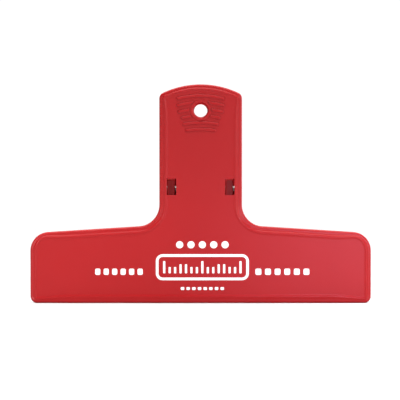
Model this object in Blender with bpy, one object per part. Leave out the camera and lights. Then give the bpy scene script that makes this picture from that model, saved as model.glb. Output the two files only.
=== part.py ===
"""A wide-jaw plastic clip: two moulded levers, a steel hinge pin and a torsion spring.

The clip stands on its closed jaw tips. X runs along the jaws, Z runs up from the jaw tips to the handles,
and the front lever is on the -Y side. The levers meet at the middle plane, Y = 0.

Each lever is modelled flat first, with Y as the depth below its outer crest line. Then it is bent
to its side profile, and the parts that lie on the pin's axis are added.
"""
import math

import bmesh
import bpy
from mathutils import Matrix, Vector
from mathutils.geometry import convex_hull_2d

# Outline of a lever, in metres
HALF_JAW = 0.075
HALF_HANDLE = 0.0182
HEIGHT = 0.0962
BOTTOM_CORNER = 0.003
WING_CORNER = 0.00825
WING_SLOPE = math.radians(3.57)
WING_TOP_AT_NECK = 0.0338
NECK_FILLET = 0.0095
HANDLE_CORNER = 0.003
CROWN_RADIUS = 0.039
ARC_STEP = math.radians(18)

# Section of a lever: the border steps down from a raised bead, and a skirt runs all round
WALL = 0.0020
FACE_DEPTH = 0.0002
CEILING_DEPTH = FACE_DEPTH + 0.0020
SKIRT_DEPTH = 0.00405
OUTER_SECTION = [  # (inset from the outline, depth below the bead's crest)
    (0.0, SKIRT_DEPTH),
    (0.0, 0.0013),
    (0.00035, 0.00075),
    (0.0017, 0.0005),
    (0.0021, 0.00003),
    (0.0024, 0.00003),
    (0.0028, FACE_DEPTH),
]

# Side profile: how far the crest stands from the middle plane
CREST_AT_TIP = 0.0042
JAW_SLOPE = 0.0875
HANDLE_SLOPE = 0.155
BEND_LOW = 0.038
BEND_HIGH = 0.056
BEND_STEPS = 6
LIP_GAP = 0.00015
LIP_HEIGHT = 0.003
LIP_FADE = 0.006

# Hinge
PIN_Z = 0.050
PIN_RADIUS = 0.0016
PIN_HALF_LENGTH = 0.0169
PIN_CHAMFER = 0.0003
BORE_RADIUS = 0.0019
EAR_RADIUS = 0.0041
LUG_REACH = 0.0046
LUG_HALF_HEIGHT = 0.0044
EAR_HALF_ROOT = 0.007
ROOT_DEPTH = 0.0012
INNER_EAR_X = (0.0088, 0.0103)
OUTER_EAR_X = (0.0152, 0.0167)
LUG_X = (0.0111, 0.0145)
SIDE_PLAY = 0.00025
WINDOW_X = (0.01075, 0.0149)
WINDOW_Z = (0.04755, 0.05485)

# Handle details
HOLE_Z = 0.0848
HOLE_RADIUS = 0.0031
BOSS_RADIUS = 0.0046
BOSS_GAP = 0.0004
BOSS_DEPTH = 0.00005
RIDGE_TOP_Z = 0.0912
RIDGE_PITCH = 0.00295
RIDGE_HALF_WIDTHS = [0.0106, 0.0106, 0.0101, 0.0088, 0.0080, 0.0068]
RIDGE_FOOT = 0.0013
RIDGE_CREST = 0.0007
RIDGE_DEPTH = -0.00025
RIDGE_STEPS = 6
RIB_Z = (0.036, 0.090)
RIB_DEPTH = 0.0036
FRONT_RIBS = (0.0088, 0.0103)
REAR_RIBS = (0.0120, 0.0135)

# Torsion spring
WIRE_RADIUS = 0.0008
COIL_RADIUS = 0.0036
COIL_PITCH = 0.00195
WHOLE_TURNS = 6
STEPS_PER_TURN = 16
LEG_LENGTH = 0.027
LEG_LEAN = math.radians(12.3)
SADDLE_Z = (0.066, 0.078)
SADDLE_DEPTH = 0.0034
SADDLE_GAP = 0.0012
SADDLE_WALL = 0.0009

BORE_SIDES = 24
DEEP = 0.003
MERGE_DISTANCE = 0.000003
SHARP_ANGLE = math.radians(30)


def clear_scene():
    for thing in list(bpy.data.objects):
        bpy.data.objects.remove(thing, do_unlink=True)


def material(name, colour, roughness, metallic):
    mat = bpy.data.materials.new(name)
    mat.use_nodes = True
    shader = mat.node_tree.nodes["Principled BSDF"]
    shader.inputs["Base Color"].default_value = (*colour, 1.0)
    shader.inputs["Roughness"].default_value = roughness
    shader.inputs["Metallic"].default_value = metallic
    return mat


def add_object(name, bm):
    bmesh.ops.recalc_face_normals(bm, faces=bm.faces)
    mesh = bpy.data.meshes.new(name)
    bm.to_mesh(mesh)
    bm.free()
    obj = bpy.data.objects.new(name, mesh)
    bpy.context.collection.objects.link(obj)
    return obj


def combine(obj, other, operation):
    """Apply a Boolean of obj with other, and drop other."""
    modifier = obj.modifiers.new(operation.lower(), "BOOLEAN")
    modifier.operation = operation
    modifier.object = other
    graph = bpy.context.evaluated_depsgraph_get()
    mesh = bpy.data.meshes.new_from_object(obj.evaluated_get(graph))
    obj.modifiers.clear()
    obj.data = mesh
    bpy.data.objects.remove(other, do_unlink=True)


def arc(centre, radius, start, stop, outward):
    """Points on an arc and their outward directions. outward is -1 on a hollow arc."""
    steps = max(1, math.ceil(abs(stop - start) / ARC_STEP))
    found = []
    for k in range(steps + 1):
        angle = start + (stop - start) * k / steps
        normal = Vector((math.cos(angle), math.sin(angle)))
        found.append((Vector(centre) + outward * radius * normal, normal))
    return found


def lever_outline():
    """The T-shaped outline as (point, outward normal) in X and Z, counter-clockwise from the jaw's middle."""
    top_angle = math.pi / 2 - WING_SLOPE
    top_normal = Vector((math.cos(top_angle), math.sin(top_angle)))
    neck_x = HALF_HANDLE + NECK_FILLET
    top_offset = top_normal.dot(Vector((neck_x, WING_TOP_AT_NECK)))

    def on_wing_line(x, distance):
        return (x, (top_offset + distance - top_normal.x * x) / top_normal.y)

    wing_centre = on_wing_line(HALF_JAW - WING_CORNER, -WING_CORNER)
    neck_centre = on_wing_line(neck_x, NECK_FILLET)
    crown_z = HEIGHT - CROWN_RADIUS
    corner_x = HALF_HANDLE - HANDLE_CORNER
    corner_rise = math.sqrt((CROWN_RADIUS - HANDLE_CORNER) ** 2 - corner_x**2)
    corner_angle = math.atan2(corner_rise, corner_x)

    jaw_corner = (HALF_JAW - BOTTOM_CORNER, BOTTOM_CORNER)
    half = arc(jaw_corner, BOTTOM_CORNER, -math.pi / 2, 0, 1)
    half += arc(wing_centre, WING_CORNER, 0, top_angle, 1)
    half += arc(neck_centre, NECK_FILLET, top_angle, 0, -1)
    half += arc((corner_x, crown_z + corner_rise), HANDLE_CORNER, 0, corner_angle, 1)
    half += arc((0, crown_z), CROWN_RADIUS, corner_angle, math.pi / 2, 1)[1:]
    mirrored = [
        (Vector((-p.x, p.y)), Vector((-n.x, n.y))) for p, n in reversed(half[:-1])
    ]
    return half + mirrored


def ring(bm, outline, inset, depth):
    places = [point - inset * normal for point, normal in outline]
    return [bm.verts.new((place.x, depth, place.y)) for place in places]


def bridge(bm, lower, upper):
    for k, vert in enumerate(lower):
        after = (k + 1) % len(lower)
        bm.faces.new((vert, lower[after], upper[after], upper[k]))


def flat_shell():
    """The lever's plate and skirt, before it is bent."""
    bm = bmesh.new()
    outline = lever_outline()
    rings = [ring(bm, outline, inset, depth) for inset, depth in OUTER_SECTION]
    for lower, upper in zip(rings, rings[1:]):
        bridge(bm, lower, upper)
    bm.faces.new(rings[-1])
    ceiling = ring(bm, outline, WALL, CEILING_DEPTH)
    skirt_foot = ring(bm, outline, WALL, SKIRT_DEPTH)
    bm.faces.new(ceiling)
    bridge(bm, ceiling, skirt_foot)
    bridge(bm, skirt_foot, rings[0])
    return add_object("shell", bm)


def box(x_range, y_range, z_range):
    bm = bmesh.new()
    bmesh.ops.create_cube(bm, size=1.0)
    ranges = (x_range, y_range, z_range)
    for vert in bm.verts:
        for axis, (low, high) in enumerate(ranges):
            vert.co[axis] = high if vert.co[axis] > 0 else low
    return add_object("box", bm)


def cylinder(radius, centre, half_length, axis):
    """A closed cylinder about the X or Y axis."""
    bm = bmesh.new()
    turn = Matrix.Rotation(math.pi / 2, 4, "Y" if axis == "X" else "X")
    bmesh.ops.create_cone(
        bm,
        cap_ends=True,
        segments=BORE_SIDES,
        radius1=radius,
        radius2=radius,
        depth=2 * half_length,
        matrix=Matrix.Translation(centre) @ turn,
    )
    return add_object("cylinder", bm)


def both_sides(x_range):
    low, high = x_range
    return [(low, high), (-high, -low)]


def grip_ridge(crest_z, half_width):
    """One curved bar across the handle, with a narrower crest than foot."""
    bm = bmesh.new()
    reach = math.asin(half_width / CROWN_RADIUS)
    section = [
        (-RIDGE_FOOT / 2, ROOT_DEPTH),
        (-RIDGE_FOOT / 2, FACE_DEPTH),
        (-RIDGE_CREST / 2, RIDGE_DEPTH),
        (RIDGE_CREST / 2, RIDGE_DEPTH),
        (RIDGE_FOOT / 2, FACE_DEPTH),
        (RIDGE_FOOT / 2, ROOT_DEPTH),
    ]
    rows = []
    for k in range(RIDGE_STEPS + 1):
        angle = reach * (2 * k / RIDGE_STEPS - 1)
        row = []
        for across, depth in section:
            radius = CROWN_RADIUS + across
            x = radius * math.sin(angle)
            z = crest_z - CROWN_RADIUS + radius * math.cos(angle)
            row.append(bm.verts.new((x, depth, z)))
        rows.append(row)
    for near, far in zip(rows, rows[1:]):
        bridge(bm, near, far)
    bm.faces.new(rows[0])
    bm.faces.new(rows[-1])
    return add_object("ridge", bm)


def crest_offset(z):
    """The crest's distance from the middle plane at height z."""
    offset = CREST_AT_TIP + JAW_SLOPE * z
    bend = HANDLE_SLOPE - JAW_SLOPE
    span = BEND_HIGH - BEND_LOW
    if z >= BEND_HIGH:
        return offset + bend * (z - BEND_HIGH + span / 2)
    if z <= BEND_LOW:
        return offset
    step = span / BEND_STEPS
    level = min(BEND_STEPS - 1, int((z - BEND_LOW) / step))
    share = (z - BEND_LOW) / step - level
    low, high = (bend * (n * step) ** 2 / (2 * span) for n in (level, level + 1))
    return offset + low + (high - low) * share


def skirt_depth(z):
    """The skirt's depth, deeper at the lip so that the lips meet face to face."""
    lip_depth = crest_offset(LIP_HEIGHT) - LIP_GAP
    if z <= LIP_HEIGHT:
        return crest_offset(z) - LIP_GAP
    share = min(1.0, (z - LIP_HEIGHT) / (LIP_FADE - LIP_HEIGHT))
    return lip_depth + (SKIRT_DEPTH - lip_depth) * share


def bend(obj, side):
    """Cut the flat lever at the levels where its profile turns, then move it to its profile."""
    bm = bmesh.new()
    bm.from_mesh(obj.data)
    levels = [LIP_HEIGHT, LIP_FADE]
    levels += [BEND_LOW + (BEND_HIGH - BEND_LOW) * k / BEND_STEPS for k in range(BEND_STEPS + 1)]
    for level in levels:
        everything = bm.verts[:] + bm.edges[:] + bm.faces[:]
        bmesh.ops.bisect_plane(bm, geom=everything, plane_co=(0, 0, level), plane_no=(0, 0, 1))
    for vert in bm.verts:
        depth = vert.co.y
        if depth > RIB_DEPTH:
            stretch = (skirt_depth(vert.co.z) - RIB_DEPTH) / (SKIRT_DEPTH - RIB_DEPTH)
            depth = RIB_DEPTH + (depth - RIB_DEPTH) * stretch
        vert.co.y = side * (crest_offset(vert.co.z) - depth)
    bmesh.ops.recalc_face_normals(bm, faces=bm.faces)
    bm.to_mesh(obj.data)
    bm.free()


def ear(x_range, side, corners):
    """A tab from the plate to the pin: the hull of a disc on the axis, a root inside the plate and any
    corners, given as (reach past the axis, height above it)."""
    outline = []
    for k in range(BORE_SIDES):
        angle = 2 * math.pi * k / BORE_SIDES
        outline.append((EAR_RADIUS * math.cos(angle), PIN_Z + EAR_RADIUS * math.sin(angle)))
    for reach, height in corners:
        outline.append((-side * reach, PIN_Z + height))
    for z in (PIN_Z - EAR_HALF_ROOT, PIN_Z + EAR_HALF_ROOT):
        outline.append((side * (crest_offset(z) - ROOT_DEPTH), z))
    order = convex_hull_2d(outline)
    bm = bmesh.new()
    faces = [[bm.verts.new((x, *outline[k])) for k in order] for x in x_range]
    bridge(bm, *faces)
    for verts in faces:
        bm.faces.new(verts)
    return add_object("ear", bm)


def lever(name, side, tabs, tab_corners, ribs, windows, finish):
    """One moulded lever. side is -1 at the front and 1 at the rear."""
    obj = flat_shell()
    obj.name = name
    hole_centre = Vector((0, 0, HOLE_Z))
    for n, half_width in enumerate(RIDGE_HALF_WIDTHS):
        bar = grip_ridge(RIDGE_TOP_Z - n * RIDGE_PITCH, half_width)
        combine(bar, cylinder(BOSS_RADIUS + BOSS_GAP, hole_centre, 2 * DEEP, "Y"), "DIFFERENCE")
        combine(obj, bar, "UNION")
    boss_middle = Vector((0, (BOSS_DEPTH + ROOT_DEPTH) / 2, HOLE_Z))
    boss = cylinder(BOSS_RADIUS, boss_middle, (ROOT_DEPTH - BOSS_DEPTH) / 2, "Y")
    combine(obj, boss, "UNION")
    combine(obj, cylinder(HOLE_RADIUS, hole_centre, 2 * DEEP, "Y"), "DIFFERENCE")
    for x_range in both_sides(ribs):
        combine(obj, box(x_range, (ROOT_DEPTH, RIB_DEPTH), RIB_Z), "UNION")
    leg_x = side * coil_half_width()
    for edge in (leg_x - SADDLE_GAP - SADDLE_WALL, leg_x + SADDLE_GAP):
        wall = box((edge, edge + SADDLE_WALL), (ROOT_DEPTH, SADDLE_DEPTH), SADDLE_Z)
        combine(obj, wall, "UNION")
    for x_range in windows:
        combine(obj, box(x_range, (-DEEP, CEILING_DEPTH + DEEP), WINDOW_Z), "DIFFERENCE")
    bend(obj, side)
    for x_range in tabs:
        combine(obj, ear(x_range, side, tab_corners), "UNION")
    pin_line = Vector((0, 0, PIN_Z))
    combine(obj, cylinder(BORE_RADIUS, pin_line, HALF_HANDLE, "X"), "DIFFERENCE")
    obj.data.materials.clear()
    obj.data.materials.append(finish)
    obj.data.set_sharp_from_angle(angle=SHARP_ANGLE)
    return obj


def hinge_pin(finish):
    """A steel pin with chamfered ends, made by spinning its half profile round the X axis."""
    bm = bmesh.new()
    profile = [
        (-PIN_HALF_LENGTH, 0.0),
        (-PIN_HALF_LENGTH, PIN_RADIUS - PIN_CHAMFER),
        (-PIN_HALF_LENGTH + PIN_CHAMFER, PIN_RADIUS),
        (PIN_HALF_LENGTH - PIN_CHAMFER, PIN_RADIUS),
        (PIN_HALF_LENGTH, PIN_RADIUS - PIN_CHAMFER),
        (PIN_HALF_LENGTH, 0.0),
    ]
    verts = [bm.verts.new((x, 0, PIN_Z + r)) for x, r in profile]
    edges = [bm.edges.new(pair) for pair in zip(verts, verts[1:])]
    bmesh.ops.spin(
        bm,
        geom=verts + edges,
        cent=(0, 0, PIN_Z),
        axis=(1, 0, 0),
        angle=2 * math.pi,
        steps=BORE_SIDES,
        use_merge=True,
    )
    bmesh.ops.remove_doubles(bm, verts=bm.verts, dist=MERGE_DISTANCE)
    obj = add_object("hinge_pin", bm)
    obj.data.materials.append(finish)
    obj.data.shade_smooth()
    obj.data.set_sharp_from_angle(angle=SHARP_ANGLE)
    return obj


def coil_angles():
    """The coil's first and last angle about the pin, where its legs leave it straight."""
    return math.pi + LEG_LEAN, 2 * math.pi * (WHOLE_TURNS + 1) - LEG_LEAN


def coil_half_width():
    first, last = coil_angles()
    return COIL_PITCH * (last - first) / (4 * math.pi)


def leg_end(side, x):
    """The free end of a leg, LEG_LENGTH up from where it leaves the coil."""
    direction = Vector((0, side * math.sin(LEG_LEAN), math.cos(LEG_LEAN)))
    coil_point = Vector((x, side * COIL_RADIUS * math.cos(LEG_LEAN), -COIL_RADIUS * math.sin(LEG_LEAN)))
    return Vector((0, 0, PIN_Z)) + coil_point + direction * LEG_LENGTH


def torsion_spring(finish):
    """A close coil round the pin, with one leg up the inside of each handle."""
    first, last = coil_angles()
    half_width = coil_half_width()
    steps = round((last - first) / (2 * math.pi) * STEPS_PER_TURN)
    points = [leg_end(-1, -half_width)]
    for k in range(steps + 1):
        angle = first + (last - first) * k / steps
        x = half_width * (2 * k / steps - 1)
        y, z = COIL_RADIUS * math.cos(angle), COIL_RADIUS * math.sin(angle)
        points.append(Vector((x, y, PIN_Z + z)))
    points.append(leg_end(1, half_width))

    curve = bpy.data.curves.new("torsion_spring", "CURVE")
    curve.dimensions = "3D"
    curve.bevel_depth = WIRE_RADIUS
    curve.bevel_resolution = 1
    curve.use_fill_caps = True
    spline = curve.splines.new("POLY")
    spline.points.add(len(points) - 1)
    for target, point in zip(spline.points, points):
        target.co = (*point, 1.0)
    curve.materials.append(finish)
    obj = bpy.data.objects.new("torsion_spring", curve)
    bpy.context.collection.objects.link(obj)
    return obj


def hang_on(obj, empty):
    """Parent obj to the empty, keeping it where it is and putting its origin on the empty."""
    obj.data.transform(Matrix.Translation(-empty.location))
    obj.parent = empty


def main():
    clear_scene()
    red = material("red_plastic", (0.58, 0.03, 0.035), 0.35, 0.0)
    steel = material("steel", (0.62, 0.62, 0.60), 0.25, 1.0)

    ears = both_sides(OUTER_EAR_X) + both_sides(INNER_EAR_X)
    front = lever("front_lever", -1, ears, [], FRONT_RIBS, both_sides(WINDOW_X), red)
    lugs = [(low - SIDE_PLAY, high - SIDE_PLAY) for low, high in both_sides(LUG_X)]
    lug_corners = [(LUG_REACH, LUG_HALF_HEIGHT), (LUG_REACH, -LUG_HALF_HEIGHT)]
    lever("rear_lever", 1, lugs, lug_corners, REAR_RIBS, [], red)

    hinge_axis = bpy.data.objects.new("hinge_axis", None)
    hinge_axis.location = (0, 0, PIN_Z)
    bpy.context.collection.objects.link(hinge_axis)
    for obj in (front, hinge_pin(steel), torsion_spring(steel)):
        hang_on(obj, hinge_axis)


main()
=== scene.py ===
import math

import bmesh
import bpy
from mathutils import Matrix, Vector
from mathutils.geometry import convex_hull_2d


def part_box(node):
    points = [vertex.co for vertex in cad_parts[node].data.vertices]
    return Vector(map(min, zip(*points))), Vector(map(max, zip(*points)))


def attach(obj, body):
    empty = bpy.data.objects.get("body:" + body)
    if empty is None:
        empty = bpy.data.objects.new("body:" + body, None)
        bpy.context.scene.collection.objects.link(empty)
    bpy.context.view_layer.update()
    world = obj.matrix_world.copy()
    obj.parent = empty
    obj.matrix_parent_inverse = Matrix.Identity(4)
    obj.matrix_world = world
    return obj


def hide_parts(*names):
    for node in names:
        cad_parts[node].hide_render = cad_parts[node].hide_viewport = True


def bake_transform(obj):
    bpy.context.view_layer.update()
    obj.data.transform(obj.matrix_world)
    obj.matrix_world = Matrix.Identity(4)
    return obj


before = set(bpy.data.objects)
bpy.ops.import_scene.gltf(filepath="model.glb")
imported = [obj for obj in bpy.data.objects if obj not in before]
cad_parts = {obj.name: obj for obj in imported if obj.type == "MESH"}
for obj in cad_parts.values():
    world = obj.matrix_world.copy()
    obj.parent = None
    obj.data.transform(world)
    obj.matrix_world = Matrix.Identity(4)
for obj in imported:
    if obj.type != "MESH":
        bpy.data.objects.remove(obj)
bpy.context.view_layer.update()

# The visual model of a wide plastic clip: two moulded levers, a steel pin, a torsion spring and the print
# on the front lever. It stands on its jaw tips, with the front towards -Y.

MM = 0.001

# From the frame: the outline's size and the pin, whose ends are then rounded
lever_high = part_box("front_lever")[1]
pin_low, pin_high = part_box("hinge_pin")
HALF_JAW = lever_high.x
HEIGHT = lever_high.z
PIN_Z = (pin_low.z + pin_high.z) / 2
PIN_RADIUS = (pin_high.z - pin_low.z) / 2
PIN_HALF_LENGTH = pin_high.x
PIN_DOME = 0.12 * MM
PIN_CHAMFER = 0.3 * MM

# Outline of a lever
HALF_HANDLE = 18.2 * MM
BOTTOM_CORNER = 3 * MM
WING_CORNER = 8.25 * MM
WING_SLOPE = math.radians(3.57)
WING_TOP_AT_NECK = 33.8 * MM
NECK_FILLET = 9.5 * MM
HANDLE_CORNER = 3 * MM
CROWN_RADIUS = 39 * MM
ARC_STEP = math.radians(6)
ARC_LENGTH = 1.5 * MM
STRAIGHT_LENGTH = 5 * MM

# Section of a lever
WALL = 2.0 * MM
FACE_DEPTH = 0.2 * MM
CEILING_DEPTH = 2.2 * MM
SKIRT_DEPTH = 4.05 * MM
RIB_DEPTH = 3.6 * MM
ROOT_DEPTH = 1.2 * MM
EDGE_ROUND = 1.0 * MM
EDGE_STEPS = 7
BORDER_DEPTH = 0.5 * MM
BORDER_EDGE = 1.1 * MM
BEAD_CREST = 2.1 * MM
BEAD_INNER = 2.95 * MM
BEAD_STEPS = 6
BORDER_WIDENING = 0.33
BORDER_NARROWS_X = (60 * MM, 70 * MM)
BORDER_NARROWS_Z = (83 * MM, 90 * MM)
LOWER_BORDER_RAISE = 0.7
FOOT_ROUND = 0.25 * MM
FOOT_STEPS = 3
CEILING_FILLET = 0.5 * MM
CEILING_STEPS = 4

# Side profile
CREST_AT_TIP = 4.2 * MM
JAW_SLOPE = 0.0875
HANDLE_SLOPE = 0.155
BEND_LOW = 38 * MM
BEND_HIGH = 56 * MM
BEND_STEP = 1 * MM
LIP_GAP = 0.15 * MM
LIP_HEIGHT = 3 * MM
LIP_FADE = 6 * MM

# Hinge
BORE_RADIUS = 1.9 * MM
EAR_RADIUS = 4.1 * MM
LUG_REACH = 4.6 * MM
LUG_HALF_HEIGHT = 4.4 * MM
EAR_HALF_ROOT = 7 * MM
EAR_BEVEL = 0.25 * MM
EAR_SIDES = 64
INNER_EAR_X = (8.8 * MM, 10.3 * MM)
OUTER_EAR_X = (15.2 * MM, 16.7 * MM)
LUG_X = (11.1 * MM, 14.5 * MM)
SIDE_PLAY = 0.25 * MM
WINDOW_X = (10.75 * MM, 14.9 * MM)
WINDOW_Z = (47.55 * MM, 54.85 * MM)
WINDOW_ROUND = 0.25 * MM

# Handle
HOLE_Z = 84.8 * MM
HOLE_RADIUS = 2.95 * MM
HOLE_TAPER = 0.5 * MM
HOLE_ROUND = 0.25 * MM
HOLE_STEPS = 5
BOSS_RADIUS = 4.6 * MM
BOSS_GAP = 0.4 * MM
BOSS_DEPTH = 0.05 * MM
BOSS_ROUND = 0.12 * MM
RIDGE_TOP_Z = 91.2 * MM
RIDGE_PITCH = 2.95 * MM
RIDGE_HALF_WIDTHS = [10.6 * MM, 10.6 * MM, 10.1 * MM, 8.8 * MM, 8.0 * MM, 6.8 * MM]
RIDGE_FOOT = 1.4 * MM
RIDGE_RISE = 0.5 * MM
RIDGE_STEPS_ACROSS = 8
RIDGE_STEPS_ALONG = 28
RIDGE_END_SHARE = 0.12
RIB_Z = (36 * MM, 90 * MM)
FRONT_RIBS = (8.8 * MM, 10.3 * MM)
REAR_RIBS = (12.0 * MM, 13.5 * MM)
EJECTOR_RADIUS = 2.2 * MM
EJECTOR_DEPTH = 0.1 * MM
EJECTOR_X = (-60 * MM, -38 * MM, 38 * MM, 60 * MM)
EJECTOR_Z = (9 * MM, 24 * MM)
MIDDLE_EJECTOR_Z = (20 * MM, 72 * MM)
EJECTOR_SIDES = 32
RIB_BEVEL = 0.3 * MM

# Spring
WIRE_RADIUS = 0.8 * MM
COIL_RADIUS = 3.6 * MM
COIL_PITCH = 1.95 * MM
WHOLE_TURNS = 6
LEG_LENGTH = 27 * MM
LEG_LEAN = math.radians(12.3)
SADDLE_Z = (66 * MM, 78 * MM)
SADDLE_DEPTH = 3.4 * MM
SADDLE_GAP = 1.2 * MM
SADDLE_WALL = 0.9 * MM
SADDLE_BEVEL = 0.2 * MM
STEPS_PER_TURN = 40
LEG_STEPS = 24
WIRE_SIDES = 16
WIRE_END_SHARE = 0.82

# Print
INK_THICKNESS = 0.03 * MM
INK_SINK = 0.02 * MM
PRINT_X = 0.75 * MM
FRAME_Z = 15.8 * MM
FRAME_WIDTH = 41.0 * MM
FRAME_HEIGHT = 11.5 * MM
FRAME_RADIUS = 3.0 * MM
FRAME_LINE = 1.2 * MM
TICKS = 15
TICK_PITCH = 2.4 * MM
TICK_WIDTH = 1.0 * MM
TICK_ROUND = 0.3 * MM
TICK_FOOT_Z = 13.1 * MM
TALL_TICK = 5.4 * MM
MIDDLE_TICK = 4.0 * MM
SHORT_TICK = 2.8 * MM
TICKS_PER_TALL = 7
LOOP_CORNER_STEPS = 6

# The rows of dashes beside the frame: each row's centre and width, and a dash's share of its pitch
SIDE_ROWS = ((-36.0 * MM, 22.4 * MM), (36.0 * MM, 25.4 * MM))
SIDE_DASHES = 6
DASH_SHARE = 0.62

# Meshes: how far a cutter reaches past the surface, steps and shading
DEEP = 3 * MM
TURNED_SIDES = 64
BEVEL_STEPS = 3
SHARP_ANGLE = math.radians(35)
WIRE_SHARP_ANGLE = math.radians(50)
AREA_WEIGHT = 80


# Mesh helpers


def new_object(name, bm):
    bmesh.ops.recalc_face_normals(bm, faces=bm.faces)
    mesh = bpy.data.meshes.new(name)
    bm.to_mesh(mesh)
    bm.free()
    obj = bpy.data.objects.new(name, mesh)
    bpy.context.collection.objects.link(obj)
    return obj


def combine(obj, other, operation):
    """Apply a Boolean of obj with other, and drop other."""
    modifier = obj.modifiers.new(operation.lower(), "BOOLEAN")
    modifier.operation = operation
    modifier.object = other
    graph = bpy.context.evaluated_depsgraph_get()
    mesh = bpy.data.meshes.new_from_object(obj.evaluated_get(graph))
    obj.modifiers.clear()
    obj.data = mesh
    bpy.data.objects.remove(other, do_unlink=True)


def bridge(bm, lower, upper):
    for k, vert in enumerate(lower):
        after = (k + 1) % len(lower)
        bm.faces.new((vert, lower[after], upper[after], upper[k]))


def smooth(obj, angle=SHARP_ANGLE):
    """Smooth shading, weighted by face area so that flat faces stay flat."""
    obj.data.shade_smooth()
    obj.data.set_sharp_from_angle(angle=angle)
    modifier = obj.modifiers.new("weighted", "WEIGHTED_NORMAL")
    modifier.keep_sharp = True
    modifier.weight = AREA_WEIGHT


def bevel(bm, edges, width):
    bmesh.ops.bevel(bm, geom=edges, offset=width, segments=BEVEL_STEPS, affect="EDGES", profile=0.5)


def both_sides(x_range):
    low, high = x_range
    return [(low, high), (-high, -low)]


def arc(centre, radius, start, stop, outward):
    """Points on an arc and their outward directions. outward is -1 on a hollow arc."""
    sweep = abs(stop - start)
    steps = max(math.ceil(sweep / ARC_STEP), math.ceil(sweep * radius / ARC_LENGTH))
    found = []
    for k in range(steps + 1):
        angle = start + (stop - start) * k / steps
        normal = Vector((math.cos(angle), math.sin(angle)))
        found.append((Vector(centre) + outward * radius * normal, normal))
    return found


def lever_outline():
    """The T-shaped outline in X and Z as (point, outward normal) pairs.

    It starts at the right end of the jaw's lower edge and runs counter-clockwise.
    """
    top_angle = math.pi / 2 - WING_SLOPE
    top_normal = Vector((math.cos(top_angle), math.sin(top_angle)))
    neck_x = HALF_HANDLE + NECK_FILLET
    top_offset = top_normal.dot(Vector((neck_x, WING_TOP_AT_NECK)))

    def on_wing_line(x, distance):
        return (x, (top_offset + distance - top_normal.x * x) / top_normal.y)

    wing_centre = on_wing_line(HALF_JAW - WING_CORNER, -WING_CORNER)
    neck_centre = on_wing_line(neck_x, NECK_FILLET)
    crown_z = HEIGHT - CROWN_RADIUS
    corner_x = HALF_HANDLE - HANDLE_CORNER
    corner_rise = math.sqrt((CROWN_RADIUS - HANDLE_CORNER) ** 2 - corner_x**2)
    corner_angle = math.atan2(corner_rise, corner_x)

    jaw_corner = (HALF_JAW - BOTTOM_CORNER, BOTTOM_CORNER)
    half = arc(jaw_corner, BOTTOM_CORNER, -math.pi / 2, 0, 1)
    half += arc(wing_centre, WING_CORNER, 0, top_angle, 1)
    half += arc(neck_centre, NECK_FILLET, top_angle, 0, -1)
    half += arc((corner_x, crown_z + corner_rise), HANDLE_CORNER, 0, corner_angle, 1)
    half += arc((0, crown_z), CROWN_RADIUS, corner_angle, math.pi / 2, 1)[1:]
    mirrored = [(Vector((-p.x, p.y)), Vector((-n.x, n.y))) for p, n in reversed(half[:-1])]
    corners = half + mirrored
    outline = []
    for (point, normal), (after, after_normal) in zip(corners, corners[1:] + corners[:1]):
        outline.append((point, normal))
        runs = math.ceil((after - point).length / STRAIGHT_LENGTH)
        for k in range(1, runs):
            between = normal.lerp(after_normal, k / runs).normalized()
            outline.append((point.lerp(after, k / runs), between))
    return outline


def ease(share):
    share = min(1.0, max(0.0, share))
    return share * share * (3 - 2 * share)


def border_scale(point):
    """The border is wider along the jaw's long edges and the handle's sides than at the ends."""
    start_x, end_x = BORDER_NARROWS_X
    start_z, end_z = BORDER_NARROWS_Z
    along_jaw = 1 - ease((abs(point.x) - start_x) / (end_x - start_x))
    along_handle = 1 - ease((point.y - start_z) / (end_z - start_z))
    return 1 + BORDER_WIDENING * along_jaw * along_handle


def bottom_share(normal):
    """How much of the border's drop is left out: most of it along the jaw's lower edge."""
    return LOWER_BORDER_RAISE * ease(-normal.y)


def quarter(steps):
    """(sine, 1 - cosine) along a quarter turn, without its ends."""
    angles = [math.pi / 2 * k / steps for k in range(1, steps)]
    return [(math.sin(a), 1 - math.cos(a)) for a in angles]


def outer_section():
    """(inset, depth) from the skirt's foot up the side, over the border and its bead, to the face."""
    section = [(FOOT_ROUND, SKIRT_DEPTH)]
    section += [(FOOT_ROUND * (1 - s), SKIRT_DEPTH - FOOT_ROUND * c) for s, c in quarter(FOOT_STEPS)]
    section += [(0.0, SKIRT_DEPTH - FOOT_ROUND), (0.0, BORDER_DEPTH + EDGE_ROUND)]
    section += [(EDGE_ROUND * c, BORDER_DEPTH + EDGE_ROUND * (1 - s)) for s, c in quarter(EDGE_STEPS)]
    section += [(EDGE_ROUND, BORDER_DEPTH), (BORDER_EDGE, BORDER_DEPTH)]
    shares = [k / BEAD_STEPS for k in range(1, BEAD_STEPS + 1)]
    for share in shares:
        inset = BORDER_EDGE + (BEAD_CREST - BORDER_EDGE) * share
        section.append((inset, BORDER_DEPTH * (1 - ease(share))))
    for share in shares:
        inset = BEAD_CREST + (BEAD_INNER - BEAD_CREST) * share
        section.append((inset, FACE_DEPTH * ease(share)))
    return section


def inner_section():
    """(inset, depth) from the ceiling through its fillet down the skirt's inner wall to the foot."""
    section = [(WALL + CEILING_FILLET, CEILING_DEPTH)]
    for sine, rest in quarter(CEILING_STEPS):
        section.append((WALL + CEILING_FILLET * (1 - sine), CEILING_DEPTH + CEILING_FILLET * rest))
    section += [(WALL, CEILING_DEPTH + CEILING_FILLET), (WALL, SKIRT_DEPTH - FOOT_ROUND)]
    for sine, rest in quarter(FOOT_STEPS):
        section.append((WALL - FOOT_ROUND * rest, SKIRT_DEPTH - FOOT_ROUND * (1 - sine)))
    return section + [(WALL - FOOT_ROUND, SKIRT_DEPTH)]


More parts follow.
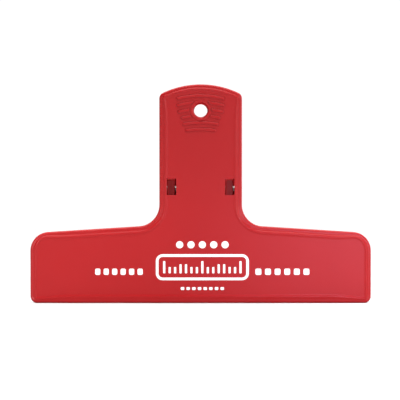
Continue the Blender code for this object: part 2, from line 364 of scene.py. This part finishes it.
def flat_shell():
    """The lever's plate and skirt before it is bent, with Y as depth below the bead's crest."""
    bm = bmesh.new()
    outline = lever_outline()
    rings = []
    outer_count = len(outer_section())
    for n, (inset, depth) in enumerate(outer_section() + inner_section()):
        share = ease((inset - EDGE_ROUND) / (BORDER_EDGE - EDGE_ROUND)) if n < outer_count else 0
        outside_bead = n < outer_count and inset < BEAD_CREST
        ring = []
        for point, normal in outline:
            place = point - inset * (1 + share * (border_scale(point) - 1)) * normal
            raised = bottom_share(normal) * min(BORDER_DEPTH, depth) if outside_bead else 0
            ring.append(bm.verts.new((place.x, depth - raised, place.y)))
        rings.append(ring)
    for n in range(len(rings)):
        if n != outer_count - 1:
            bridge(bm, rings[n], rings[(n + 1) % len(rings)])
    bm.faces.new(rings[outer_count - 1])
    bm.faces.new(rings[outer_count])
    return new_object("shell", bm)


def box(x_range, y_range, z_range, edge_width):
    bm = bmesh.new()
    bmesh.ops.create_cube(bm, size=1.0)
    ranges = (x_range, y_range, z_range)
    for vert in bm.verts:
        for axis, (low, high) in enumerate(ranges):
            vert.co[axis] = high if vert.co[axis] > 0 else low
    bevel(bm, bm.edges[:], edge_width)
    return new_object("box", bm)


def turned(profile, centre, steps=TURNED_SIDES):
    """A closed solid turned about the Y axis through centre.

    The profile's (radius, y) pairs start and end at radius 0.
    """
    bm = bmesh.new()
    first = bm.verts.new(centre + Vector((0, profile[0][1], 0)))
    last = bm.verts.new(centre + Vector((0, profile[-1][1], 0)))
    rings = []
    for radius, y in profile[1:-1]:
        angles = [2 * math.pi * k / steps for k in range(steps)]
        ring = [centre + Vector((radius * math.cos(a), y, radius * math.sin(a))) for a in angles]
        rings.append([bm.verts.new(place) for place in ring])
    for lower, upper in zip(rings, rings[1:]):
        bridge(bm, lower, upper)
    for tip, ring in ((first, rings[0]), (last, rings[-1])):
        for k in range(steps):
            bm.faces.new((tip, ring[k], ring[(k + 1) % steps]))
    return new_object("turned", bm)


def turned_on_hinge(profile):
    """A solid turned about the hinge's axis, from pairs of radius and place along it."""
    obj = turned(profile, Vector((0, 0, 0)))
    obj.data.transform(Matrix.Translation((0, 0, PIN_Z)) @ Matrix.Rotation(math.pi / 2, 4, "Z"))
    return obj


def on_crown(radius, angle, centre_z, depth):
    """A point on an arc like the handle's crown, with angle from its top."""
    return (radius * math.sin(angle), depth, centre_z + radius * math.cos(angle))


def grip_ridges():
    """All curved bars of the grip zone in one mesh, each half round, with rounded ends."""
    bm = bmesh.new()
    for n, half_width in enumerate(RIDGE_HALF_WIDTHS):
        centre_z = RIDGE_TOP_Z - n * RIDGE_PITCH - CROWN_RADIUS
        reach = math.asin(half_width / CROWN_RADIUS)
        end_round = RIDGE_FOOT / 2 / CROWN_RADIUS
        rows = []
        for k in range(RIDGE_STEPS_ALONG + 1):
            swing = math.sin(math.pi * (k / RIDGE_STEPS_ALONG - 0.5))
            angle = reach * swing
            past = max(0.0, (abs(angle) - reach + end_round) / end_round)
            shrink = max(RIDGE_END_SHARE, math.sqrt(max(0.0, 1 - past * past)))
            row = []
            for j in range(RIDGE_STEPS_ACROSS + 1):
                turn = math.pi * j / RIDGE_STEPS_ACROSS
                across = RIDGE_FOOT / 2 * math.cos(turn) * shrink
                depth = FACE_DEPTH - RIDGE_RISE * math.sin(turn) * shrink
                place = on_crown(CROWN_RADIUS + across, angle, centre_z, depth)
                row.append(bm.verts.new(place))
            for side in (-1, 1):
                radius = CROWN_RADIUS + side * RIDGE_FOOT / 2 * shrink
                row.append(bm.verts.new(on_crown(radius, angle, centre_z, ROOT_DEPTH)))
            rows.append(row)
        for near, far in zip(rows, rows[1:]):
            bridge(bm, near, far)
        bm.faces.new(rows[0])
        bm.faces.new(rows[-1])
    return new_object("ridges", bm)


def crest_offset(z):
    """The crest's distance from the middle plane at height z."""
    offset = CREST_AT_TIP + JAW_SLOPE * z
    bend = HANDLE_SLOPE - JAW_SLOPE
    span = BEND_HIGH - BEND_LOW
    if z >= BEND_HIGH:
        return offset + bend * (z - BEND_HIGH + span / 2)
    if z <= BEND_LOW:
        return offset
    return offset + bend * (z - BEND_LOW) ** 2 / (2 * span)


def skirt_depth(z):
    """The skirt's depth, deeper at the lip so that the lips meet face to face."""
    lip_depth = crest_offset(LIP_HEIGHT) - LIP_GAP
    if z <= LIP_HEIGHT:
        return crest_offset(z) - LIP_GAP
    share = min(1.0, (z - LIP_HEIGHT) / (LIP_FADE - LIP_HEIGHT))
    return lip_depth + (SKIRT_DEPTH - lip_depth) * share


def bend(obj, side):
    """Cut the flat lever at the levels where its profile turns, then move it to its profile."""
    bm = bmesh.new()
    bm.from_mesh(obj.data)
    levels = [LIP_HEIGHT, LIP_FADE]
    steps = round((BEND_HIGH - BEND_LOW) / BEND_STEP)
    levels += [BEND_LOW + BEND_STEP * k for k in range(steps + 1)]
    for level in levels:
        everything = bm.verts[:] + bm.edges[:] + bm.faces[:]
        bmesh.ops.bisect_plane(bm, geom=everything, plane_co=(0, 0, level), plane_no=(0, 0, 1))
    for vert in bm.verts:
        depth = vert.co.y
        if depth > RIB_DEPTH:
            stretch = (skirt_depth(vert.co.z) - RIB_DEPTH) / (SKIRT_DEPTH - RIB_DEPTH)
            depth = RIB_DEPTH + (depth - RIB_DEPTH) * stretch
        vert.co.y = side * (crest_offset(vert.co.z) - depth)
    bmesh.ops.recalc_face_normals(bm, faces=bm.faces)
    bm.to_mesh(obj.data)
    bm.free()


def ear(x_range, side, corners):
    """A tab from the plate to the pin.

    It is the hull of a disc on the axis, a root inside the plate and any corners, which are given as
    (reach past the axis, height above it).
    """
    angles = [2 * math.pi * k / EAR_SIDES for k in range(EAR_SIDES)]
    outline = [(EAR_RADIUS * math.cos(a), PIN_Z + EAR_RADIUS * math.sin(a)) for a in angles]
    outline += [(-side * reach, PIN_Z + height) for reach, height in corners]
    for z in (PIN_Z - EAR_HALF_ROOT, PIN_Z + EAR_HALF_ROOT):
        outline.append((side * (crest_offset(z) - ROOT_DEPTH), z))
    order = convex_hull_2d(outline)
    bm = bmesh.new()
    rims = [[bm.verts.new((x, *outline[k])) for k in order] for x in x_range]
    bridge(bm, *rims)
    caps = [bm.faces.new(rim) for rim in rims]
    bevel(bm, [edge for cap in caps for edge in cap.edges], EAR_BEVEL)
    return new_object("ear", bm)


def hole_cutter():
    """The hanging hole, narrower inward, with its outer edge rounded over."""
    mouth = HOLE_RADIUS + HOLE_TAPER
    profile = [(0, -DEEP), (mouth + HOLE_ROUND, -DEEP), (mouth + HOLE_ROUND, BOSS_DEPTH)]
    for sine, rest in quarter(HOLE_STEPS):
        profile.append((mouth + HOLE_ROUND * (1 - sine), BOSS_DEPTH + HOLE_ROUND * rest))
    profile += [(mouth, BOSS_DEPTH + HOLE_ROUND), (HOLE_RADIUS, CEILING_DEPTH), (HOLE_RADIUS, 2 * DEEP)]
    profile.append((0, 2 * DEEP))
    return turned(profile, Vector((0, 0, HOLE_Z)))


def hole_boss():
    """The smooth low boss round the hanging hole."""
    profile = [(0, BOSS_DEPTH), (BOSS_RADIUS - BOSS_ROUND, BOSS_DEPTH)]
    profile += [(BOSS_RADIUS, BOSS_DEPTH + BOSS_ROUND), (BOSS_RADIUS, ROOT_DEPTH), (0, ROOT_DEPTH)]
    return turned(profile, Vector((0, 0, HOLE_Z)))


def ejector_marks():
    """Round marks left by the mould's ejectors on the inner side."""
    places = [(x, z) for x in EJECTOR_X for z in EJECTOR_Z]
    places += [(0, z) for z in MIDDLE_EJECTOR_Z]
    top = CEILING_DEPTH - EJECTOR_DEPTH
    profile = [(0, top), (EJECTOR_RADIUS, top), (EJECTOR_RADIUS, RIB_DEPTH), (0, RIB_DEPTH)]
    return [turned(profile, Vector((x, 0, z)), EJECTOR_SIDES) for x, z in places]


def cylinder(radius, half_length):
    """The profile of a plain cylinder."""
    return [(0, -half_length), (radius, -half_length), (radius, half_length), (0, half_length)]


def coil_angles():
    """Where the coil starts and ends, so that it runs straight on into the legs."""
    return math.pi + LEG_LEAN, 2 * math.pi * (WHOLE_TURNS + 1) - LEG_LEAN


def coil_half_width():
    first, last = coil_angles()
    return COIL_PITCH * (last - first) / (4 * math.pi)


def lever(name, side, tabs, tab_corners, ribs, windows):
    """One moulded lever. side is -1 at the front and 1 at the rear."""
    obj = flat_shell()
    obj.name = name
    ridges = grip_ridges()
    clearing = turned(cylinder(BOSS_RADIUS + BOSS_GAP, DEEP), Vector((0, 0, HOLE_Z)))
    combine(ridges, clearing, "DIFFERENCE")
    combine(obj, ridges, "UNION")
    combine(obj, hole_boss(), "UNION")
    combine(obj, hole_cutter(), "DIFFERENCE")
    for x_range in both_sides(ribs):
        combine(obj, box(x_range, (ROOT_DEPTH, RIB_DEPTH), RIB_Z, RIB_BEVEL), "UNION")
    leg_x = side * coil_half_width()
    for edge in (leg_x - SADDLE_GAP - SADDLE_WALL, leg_x + SADDLE_GAP):
        wall = box((edge, edge + SADDLE_WALL), (ROOT_DEPTH, SADDLE_DEPTH), SADDLE_Z, SADDLE_BEVEL)
        combine(obj, wall, "UNION")
    for x_range in windows:
        cutter = box(x_range, (-DEEP, CEILING_DEPTH + DEEP), WINDOW_Z, WINDOW_ROUND)
        combine(obj, cutter, "DIFFERENCE")
    for mark in ejector_marks():
        combine(obj, mark, "DIFFERENCE")
    bend(obj, side)
    for x_range in tabs:
        combine(obj, ear(x_range, side, tab_corners), "UNION")
    combine(obj, turned_on_hinge(cylinder(BORE_RADIUS, HALF_HANDLE)), "DIFFERENCE")
    smooth(obj)
    return obj


# Materials

# Sockets of the Mix node, and the Ambient Occlusion node's samples
MIX_SHARE = 0
NUMBER_A, NUMBER_B, NUMBER_RESULT = 2, 3, 0
COLOUR_A, COLOUR_B, COLOUR_RESULT = 6, 7, 2
OCCLUSION_SAMPLES = 6

# Colours, roughness, and the reach and height of what varies on a surface
RED = (0.355, 0.0066, 0.0084)
LIGHTER_RED = (0.369, 0.0076, 0.0094)
# Painted shade: the deeper red that grooves and corners are darkened to
RECESS_SHADE_RED = (0.19, 0.003, 0.005)
SCUFFED_RED = (0.50, 0.03, 0.034)
PLASTIC_ROUGHNESS = (0.29, 0.34)
SCUFFED_ROUGHNESS = 0.5
RECESS_REACH = 1.6 * MM
WEAR_REACH = 0.35 * MM
GRAIN_HEIGHT = 0.01 * MM
FLOW_HEIGHT = 0.3 * MM
STREAK_HEIGHT = 0.02 * MM
PIN_STEEL = ((0.46, 0.45, 0.44), (0.64, 0.63, 0.62))
SPRING_STEEL = ((0.42, 0.42, 0.41), (0.60, 0.60, 0.58))
INK = ((0.78, 0.70, 0.70), (0.88, 0.86, 0.86))
INK_ROUGHNESS = (0.42, 0.55)
FLOOR_GREY = ((0.49, 0.49, 0.49), (0.51, 0.51, 0.51))


class Nodes:
    """A short way to build a material's node tree."""

    def __init__(self, name):
        self.material = bpy.data.materials.new(name)
        self.material.use_nodes = True
        self.tree = self.material.node_tree
        self.shader = self.tree.nodes["Principled BSDF"]
        self.place = self.add("ShaderNodeTexCoord").outputs["Object"]

    def add(self, kind, **settings):
        node = self.tree.nodes.new(kind)
        for key, value in settings.items():
            setattr(node, key, value)
        return node

    def link(self, output, socket):
        self.tree.links.new(output, socket)

    def drive(self, name, output):
        """Link an output to the shader's socket of that name."""
        self.link(output, self.shader.inputs[name])

    def noise(self, scale, detail, stretch=None):
        """Noise with scale in waves per metre."""
        place = self.place
        if stretch:
            mapping = self.add("ShaderNodeMapping")
            mapping.inputs["Scale"].default_value = stretch
            self.link(place, mapping.inputs["Vector"])
            place = mapping.outputs["Vector"]
        node = self.add("ShaderNodeTexNoise")
        node.inputs["Scale"].default_value = scale
        node.inputs["Detail"].default_value = detail
        self.link(place, node.inputs["Vector"])
        return node.outputs["Fac"]

    def spread(self, value, low, high, from_low=0.3, from_high=0.7):
        """The value from from_low to from_high, spread over low to high."""
        node = self.add("ShaderNodeMapRange")
        node.inputs["From Min"].default_value = from_low
        node.inputs["From Max"].default_value = from_high
        node.inputs["To Min"].default_value = low
        node.inputs["To Max"].default_value = high
        self.link(value, node.inputs["Value"])
        return node.outputs["Result"]

    def colour(self, value, low, high):
        """Mix from low, a colour or another node's output, to the colour high."""
        node = self.add("ShaderNodeMix", data_type="RGBA")
        if isinstance(low, tuple):
            node.inputs[COLOUR_A].default_value = (*low, 1)
        else:
            self.link(low, node.inputs[COLOUR_A])
        node.inputs[COLOUR_B].default_value = (*high, 1)
        self.link(value, node.inputs[MIX_SHARE])
        return node.outputs[COLOUR_RESULT]

    def number(self, value, low, high):
        """Mix from low, another node's output, to the number high."""
        node = self.add("ShaderNodeMix", data_type="FLOAT")
        self.link(low, node.inputs[NUMBER_A])
        node.inputs[NUMBER_B].default_value = high
        self.link(value, node.inputs[MIX_SHARE])
        return node.outputs[NUMBER_RESULT]

    def enclosed(self, reach, inside, start, full):
        """0 in the open, up to 1 where the piece closes in within reach.

        With inside, it is the piece's own body that has little within reach behind the surface.
        """
        node = self.add("ShaderNodeAmbientOcclusion", inside=inside, only_local=True)
        node.samples = OCCLUSION_SAMPLES
        node.inputs["Distance"].default_value = reach
        return self.spread(node.outputs["AO"], 0, 1, from_low=start, from_high=full)

    def recesses(self, reach):
        """Grooves and corners, darkened towards a deeper red as painted shade."""
        return self.enclosed(reach, inside=False, start=0.97, full=0.35)

    def worn_edges(self, reach):
        """Edges that turn sharply outward, broken up by noise."""
        turning = self.enclosed(reach, inside=True, start=0.9, full=0.5)
        node = self.add("ShaderNodeMath", operation="MULTIPLY")
        self.link(turning, node.inputs[0])
        broken = self.spread(self.noise(scale=420, detail=4), 0, 1, from_low=0.4, from_high=0.62)
        self.link(broken, node.inputs[1])
        return node.outputs["Value"]

    def bump(self, height, distance, strength, below=None):
        """A normal shifted by height. below is another bump's normal to add it to."""
        node = self.add("ShaderNodeBump")
        node.inputs["Strength"].default_value = strength
        node.inputs["Distance"].default_value = distance
        self.link(height, node.inputs["Height"])
        if below:
            self.link(below, node.inputs["Normal"])
        return node.outputs["Normal"]

    def set(self, **values):
        """Set numbers on the shader's own sockets, with _ for each space in a name."""
        for key, value in values.items():
            self.shader.inputs[key.replace("_", " ")].default_value = value


def red_plastic():
    """Moulded plastic with slight flow marks, fine grain, painted shade in its recesses and worn edges.
    """
    nodes = Nodes("red_plastic")
    nodes.set(Specular_IOR_Level=0.22)
    cloud = nodes.spread(nodes.noise(scale=45, detail=3), 0, 1)
    body = nodes.colour(cloud, RED, LIGHTER_RED)
    # Painted shade: ambient occlusion darkens grooves and corners towards a deeper red
    shaded = nodes.colour(nodes.recesses(RECESS_REACH), body, RECESS_SHADE_RED)
    scuffed = nodes.worn_edges(WEAR_REACH)
    nodes.drive("Base Color", nodes.colour(scuffed, shaded, SCUFFED_RED))
    patches = nodes.noise(scale=70, detail=2)
    rubbed = nodes.spread(patches, *PLASTIC_ROUGHNESS, from_low=0.1, from_high=0.9)
    nodes.drive("Roughness", nodes.number(scuffed, rubbed, SCUFFED_ROUGHNESS))
    grain = nodes.bump(nodes.noise(scale=2200, detail=2), GRAIN_HEIGHT, strength=0.2)
    flow = nodes.noise(scale=38, detail=1)
    nodes.drive("Normal", nodes.bump(flow, FLOW_HEIGHT, strength=0.35, below=grain))
    return nodes.material


def steel(name, colours, roughness, stretch):
    """Metal with fine streaks. stretch is below 1 on the axis that the streaks run along."""
    nodes = Nodes(name)
    nodes.set(Metallic=1.0)
    streaks = nodes.noise(900, 3, stretch)
    nodes.drive("Base Color", nodes.colour(streaks, *colours))
    nodes.drive("Roughness", nodes.spread(streaks, roughness - 0.06, roughness + 0.08))
    nodes.drive("Normal", nodes.bump(streaks, STREAK_HEIGHT, strength=0.4))
    return nodes.material


def print_ink():
    nodes = Nodes("print_ink")
    nodes.set(Specular_IOR_Level=0.35)
    speckle = nodes.spread(nodes.noise(scale=2600, detail=3), 0, 1, from_low=0.25, from_high=0.5)
    nodes.drive("Base Color", nodes.colour(speckle, *INK))
    nodes.drive("Roughness", nodes.spread(nodes.noise(scale=1500, detail=2), *INK_ROUGHNESS))
    nodes.drive("Normal", nodes.bump(nodes.noise(scale=3000, detail=2), GRAIN_HEIGHT, strength=0.4))
    return nodes.material


def pale_floor():
    nodes = Nodes("pale_floor")
    nodes.set(Specular_IOR_Level=0.0, Roughness=0.9)
    nodes.drive("Base Color", nodes.colour(nodes.noise(scale=3, detail=2), *FLOOR_GREY))
    return nodes.material


# Pin, spring and print


def hinge_pin():
    """The pin, with slightly domed and chamfered ends."""
    half = PIN_HALF_LENGTH
    shoulder = (PIN_RADIUS * 0.45, half - PIN_DOME * 0.25)
    rim = (PIN_RADIUS - PIN_CHAMFER, half - PIN_DOME)
    end = [(0, half), shoulder, rim, (PIN_RADIUS, half - PIN_DOME - PIN_CHAMFER)]
    obj = turned_on_hinge(end + [(radius, -along) for radius, along in reversed(end)])
    obj.name = "pin_turned"
    smooth(obj)
    return obj


def spring_wire():
    """The coil and its legs as one mesh tube."""
    first, last = coil_angles()
    half_width = coil_half_width()
    steps = round((last - first) / (2 * math.pi) * STEPS_PER_TURN)
    path = []
    for k in range(steps + 1):
        angle = first + (last - first) * k / steps
        x = half_width * (2 * k / steps - 1)
        path.append(Vector((x, COIL_RADIUS * math.cos(angle), PIN_Z + COIL_RADIUS * math.sin(angle))))
    for side, end in ((-1, 0), (1, -1)):
        direction = Vector((0, side * math.sin(LEG_LEAN), math.cos(LEG_LEAN)))
        start = path[end].copy()
        leg = [start + direction * LEG_LENGTH * k / LEG_STEPS for k in range(1, LEG_STEPS + 1)]
        path = leg[::-1] + path if side < 0 else path + leg
    bm = bmesh.new()
    rings = []
    across = Vector((1, 0, 0))
    last_place = len(path) - 1
    for k, place in enumerate(path):
        tangent = (path[min(k + 1, last_place)] - path[max(k - 1, 0)]).normalized()
        across = (across - tangent * across.dot(tangent)).normalized()
        up = tangent.cross(across)
        radius = WIRE_RADIUS * (WIRE_END_SHARE if k in (0, last_place) else 1.0)
        angles = [2 * math.pi * j / WIRE_SIDES for j in range(WIRE_SIDES)]
        ring = [place + radius * (across * math.cos(a) + up * math.sin(a)) for a in angles]
        rings.append([bm.verts.new(point) for point in ring])
    for near, far in zip(rings, rings[1:]):
        bridge(bm, near, far)
    bm.faces.new(rings[0])
    bm.faces.new(rings[-1])
    obj = new_object("spring_wire", bm)
    smooth(obj, WIRE_SHARP_ANGLE)
    return obj


def rounded_loop(centre_x, centre_z, width, height, radius):
    """Points of a rectangle with round corners, in X and Z."""
    points = []
    corners = [(1, -1, -90), (1, 1, 0), (-1, 1, 90), (-1, -1, 180)]
    for right, up, start in corners:
        for k in range(LOOP_CORNER_STEPS + 1):
            angle = math.radians(start + 90 * k / LOOP_CORNER_STEPS)
            x = centre_x + right * (width / 2 - radius) + radius * math.cos(angle)
            z = centre_z + up * (height / 2 - radius) + radius * math.sin(angle)
            points.append((x, z))
    return points


def add_ink(bm, outer, inner=None):
    """A thin slab of ink on the front jaw's face, with the hole inner if given."""

    def level(points, rise):
        depth = FACE_DEPTH - rise
        return [bm.verts.new((x, -(crest_offset(z) - depth), z)) for x, z in points]

    top, foot = level(outer, INK_THICKNESS), level(outer, -INK_SINK)
    bridge(bm, foot, top)
    if inner:
        inner_top, inner_foot = level(inner, INK_THICKNESS), level(inner, -INK_SINK)
        bridge(bm, top, inner_top)
        bridge(bm, inner_top, inner_foot)
        bridge(bm, inner_foot, foot)
    else:
        bm.faces.new(top)
        bm.faces.new(foot)


def add_row(bm, centre_x, centre_z, count, pitch, width, height, radius):
    """A row of equal dots or dashes."""
    for k in range(count):
        x = centre_x + (k - (count - 1) / 2) * pitch
        add_ink(bm, rounded_loop(x, centre_z, width, height, radius))


def tick_height(k):
    """Every seventh tick is tall, and the two halfway between are of middle height."""
    place = k % TICKS_PER_TALL
    if place == 0:
        return TALL_TICK
    return MIDDLE_TICK if place in (3, 4) else SHORT_TICK


def printed_marks():
    """Plain white marks: a scale in a frame, with dots above and rows of dashes beside and below it."""
    bm = bmesh.new()
    dot = 3.2 * MM
    add_row(
        bm, PRINT_X, 25.7 * MM, count=5, pitch=5.0 * MM, width=dot, height=dot, radius=1.59 * MM
    )
    line = FRAME_LINE
    outer = rounded_loop(PRINT_X, FRAME_Z, FRAME_WIDTH, FRAME_HEIGHT, FRAME_RADIUS)
    inner_width, inner_height = FRAME_WIDTH - 2 * line, FRAME_HEIGHT - 2 * line
    inner = rounded_loop(PRINT_X, FRAME_Z, inner_width, inner_height, FRAME_RADIUS - line)
    add_ink(bm, outer, inner)
    for k in range(TICKS):
        tall = tick_height(k)
        x = PRINT_X + (k - TICKS // 2) * TICK_PITCH
        add_ink(bm, rounded_loop(x, TICK_FOOT_Z + tall / 2, TICK_WIDTH, tall, TICK_ROUND))
    for centre, row_width in SIDE_ROWS:
        pitch = row_width / SIDE_DASHES
        width = pitch * DASH_SHARE
        add_row(bm, centre, 13.8 * MM, SIDE_DASHES, pitch, width, height=2.8 * MM, radius=0.7 * MM)
    add_row(
        bm, PRINT_X, 6.4 * MM, count=8, pitch=2.5 * MM, width=1.6 * MM, height=1.3 * MM, radius=0.4 * MM
    )
    return new_object("printed_marks", bm)


def give(obj, material, body, replaced=None):
    """Set a piece's material, the body that it rides on and the CAD node it stands for."""
    obj.data.materials.clear()
    obj.data.materials.append(material)
    if body:
        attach(obj, body)
    if replaced:
        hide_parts(replaced)


plastic = red_plastic()
ears = both_sides(OUTER_EAR_X) + both_sides(INNER_EAR_X)
front = lever("front_shell", -1, ears, [], FRONT_RIBS, both_sides(WINDOW_X))
give(front, plastic, "front", "front_lever")
lugs = [(low - SIDE_PLAY, high - SIDE_PLAY) for low, high in both_sides(LUG_X)]
lug_corners = [(LUG_REACH, LUG_HALF_HEIGHT), (LUG_REACH, -LUG_HALF_HEIGHT)]
rear = lever("rear_shell", 1, lugs, lug_corners, REAR_RIBS, [])
give(rear, plastic, "rear", "rear_lever")
pin = hinge_pin()
pin_steel = steel("pin_steel", PIN_STEEL, roughness=0.45, stretch=(0.02, 1, 1))
give(pin, pin_steel, "front", "hinge_pin")
give(printed_marks(), print_ink(), "front")

wire = spring_wire()
wire_steel = steel("spring_steel", SPRING_STEEL, roughness=0.3, stretch=(1, 1, 1))
give(wire, wire_steel, None, "torsion_spring")
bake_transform(wire)


# Stage, light and camera

FLOOR_RADIUS = 8.0
HORIZON_WHITE = 1.05
ROOM_GREY = 0.07
BAND_TOP = 0.035
BAND_END = 0.06
CAMERA_X = -0.29 * MM
CAMERA_DISTANCE = 3.2
CAMERA_HEIGHT_SHARE = 0.472
CLIP_SHARE_OF_VIEW = 0.85
SENSOR_WIDTH = 36
FARTHEST_SEEN = 50
WHITE = (1, 1, 1)
FAINT_BLUE = (0.85, 0.85, 1.0)
PALE_BLUE = (0.72, 0.72, 1.0)
PALE_VIOLET = (0.7, 0.68, 1.0)


def floor():
    bm = bmesh.new()
    bmesh.ops.create_circle(bm, cap_ends=True, segments=96, radius=FLOOR_RADIUS)
    obj = new_object("floor", bm)
    obj.data.materials.append(pale_floor())


def add_light(data, place, target, power, colour):
    data.energy = power
    data.color = colour
    obj = bpy.data.objects.new(data.name, data)
    obj.location = place
    obj.rotation_euler = (Vector(target) - Vector(place)).to_track_quat("-Z", "Y").to_euler()
    obj.visible_camera = False
    bpy.context.collection.objects.link(obj)


def soft_box(name, place, size, power, colour=WHITE):
    """A rectangular light that points at the clip's middle."""
    data = bpy.data.lights.new(name, "AREA")
    data.shape = "RECTANGLE"
    data.size, data.size_y = size
    add_light(data, place, (0, 0, HEIGHT / 2), power, colour)


def soft_spot(name, place, target, cone, radius, power, colour=WHITE):
    data = bpy.data.lights.new(name, "SPOT")
    data.spot_size = math.radians(cone)
    data.spot_blend = 1.0
    data.shadow_soft_size = radius
    add_light(data, place, target, power, colour)


def overhead(power, spread):
    data = bpy.data.lights.new("overhead", "SUN")
    data.angle = math.radians(spread)
    add_light(data, place=(0, 0, 2), target=(0, 0, 0), power=power, colour=WHITE)


def surroundings():
    """White up to just above the horizon, and a dim room over it."""
    world = bpy.data.worlds.new("studio")
    world.use_nodes = True
    tree = world.node_tree
    place = tree.nodes.new("ShaderNodeTexCoord")
    parts = tree.nodes.new("ShaderNodeSeparateXYZ")
    ramp = tree.nodes.new("ShaderNodeValToRGB")
    levels = [(0.0, HORIZON_WHITE), (BAND_TOP, HORIZON_WHITE), (BAND_END, ROOM_GREY), (1.0, ROOM_GREY)]
    while len(ramp.color_ramp.elements) < len(levels):
        ramp.color_ramp.elements.new(0.5)
    for element, (position, level) in zip(ramp.color_ramp.elements, levels):
        element.position = position
        element.color = (level, level, level, 1)
    tree.links.new(place.outputs["Generated"], parts.inputs["Vector"])
    tree.links.new(parts.outputs["Z"], ramp.inputs["Fac"])
    tree.links.new(ramp.outputs["Color"], tree.nodes["Background"].inputs["Color"])
    bpy.context.scene.world = world


def camera():
    view_width = 2 * HALF_JAW / CLIP_SHARE_OF_VIEW
    data = bpy.data.cameras.new("camera")
    data.sensor_width = SENSOR_WIDTH
    data.lens = SENSOR_WIDTH * CAMERA_DISTANCE / view_width
    data.clip_end = FARTHEST_SEEN
    obj = bpy.data.objects.new("camera", data)
    obj.location = (CAMERA_X, -CAMERA_DISTANCE, HEIGHT * CAMERA_HEIGHT_SHARE)
    obj.rotation_euler = (math.pi / 2, 0, 0)
    bpy.context.collection.objects.link(obj)
    bpy.context.scene.camera = obj


floor()
surroundings()
overhead(power=6.6, spread=90)
soft_box("top_strip", (0.05, -0.4, 0.42), size=(0.3, 0.1), power=0.35)
soft_box("right_strip", (0.36, -0.48, 0.08), size=(0.08, 0.2), power=1.2)
soft_box("rim", (0.45, 0.2, 0.12), size=(0.3, 0.35), power=2.0, colour=FAINT_BLUE)
soft_spot(
    "right_pool",
    place=(0.12, -0.16, 0.5),
    target=(0.09, -0.12, 0),
    cone=24,
    radius=0.05,
    power=12.0,
    colour=PALE_VIOLET,
)
soft_spot(
    "right_wing",
    place=(0.13, -0.5, 0.03),
    target=(0.06, 0, 0.01),
    cone=17,
    radius=0.03,
    power=3.8,
    colour=PALE_BLUE,
)
soft_spot(
    "left_wing",
    place=(-0.28, -0.5, 0.06),
    target=(-0.055, 0, 0.012),
    cone=16,
    radius=0.03,
    power=4.4,
)
camera()
bpy.context.scene.view_settings.view_transform = "Standard"
